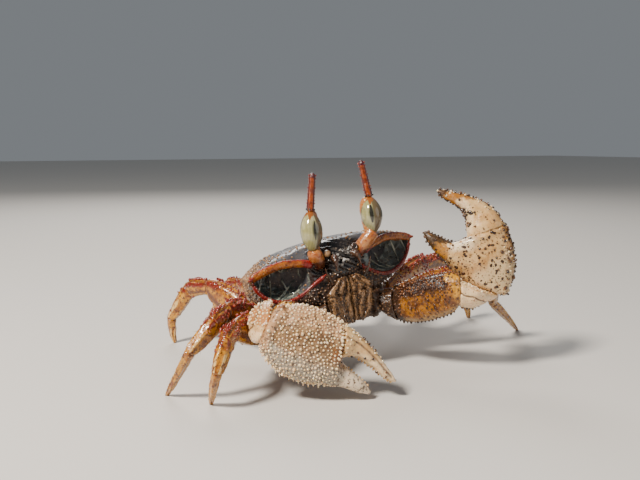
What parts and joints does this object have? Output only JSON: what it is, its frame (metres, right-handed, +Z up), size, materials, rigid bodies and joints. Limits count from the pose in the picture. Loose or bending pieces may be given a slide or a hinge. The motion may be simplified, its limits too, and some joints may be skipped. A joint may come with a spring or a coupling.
{
  "type": "horned ghost crab",
  "caption": "Life-size still model of a horned ghost crab standing alert, stalked eyes with horns raised and one beaded claw lifted to its mouth.",
  "frame": {"origin": "middle of the model's box, on the floor that the feet stand on", "axes": "+X to the crab's left, -Y the way it faces, +Z up"},
  "size_m": [0.1445, 0.1043, 0.0664],
  "materials": {
    "shell": "gloss",
    "underside": "satin",
    "mouth": "satin",
    "leg": "satin",
    "arm": "satin",
    "claw": "satin",
    "stalk": "gloss",
    "eye": "gloss",
    "horn": "gloss"
  },
  "bodies": {
    "root": {"carapace": "shell", "sternum": "underside", "abdomen": "underside", "maxilliped_left": "mouth", "eyestalk_left": "stalk", "eye_left": "eye", "horn_left": "horn", "antennule_left": "mouth", "antenna_left": "mouth", "claw_left_ischium": "arm", "claw_left_merus": "arm", "claw_left_carpus": "arm", "claw_left_propodus": "claw", "claw_left_dactyl": "claw", "maxilliped_right": "mouth", "eyestalk_right": "stalk", "eye_right": "eye", "horn_right": "horn", "antennule_right": "mouth", "antenna_right": "mouth", "claw_right_ischium": "arm", "claw_right_merus": "arm", "claw_right_carpus": "arm", "claw_right_propodus": "claw", "claw_right_dactyl": "claw", "leg_1_left_merus": "leg", "leg_1_left_carpus": "leg", "leg_1_left_propodus": "leg", "leg_1_left_dactyl": "leg", "leg_2_left_merus": "leg", "leg_2_left_carpus": "leg", "leg_2_left_propodus": "leg", "leg_2_left_dactyl": "leg", "leg_3_left_merus": "leg", "leg_3_left_carpus": "leg", "leg_3_left_propodus": "leg", "leg_3_left_dactyl": "leg", "leg_4_left_merus": "leg", "leg_4_left_carpus": "leg", "leg_4_left_propodus": "leg", "leg_4_left_dactyl": "leg", "leg_1_right_merus": "leg", "leg_1_right_carpus": "leg", "leg_1_right_propodus": "leg", "leg_1_right_dactyl": "leg", "leg_2_right_merus": "leg", "leg_2_right_carpus": "leg", "leg_2_right_propodus": "leg", "leg_2_right_dactyl": "leg", "leg_3_right_merus": "leg", "leg_3_right_carpus": "leg", "leg_3_right_propodus": "leg", "leg_3_right_dactyl": "leg", "leg_4_right_merus": "leg", "leg_4_right_carpus": "leg", "leg_4_right_propodus": "leg", "leg_4_right_dactyl": "leg"}
  },
  "joints": []
}
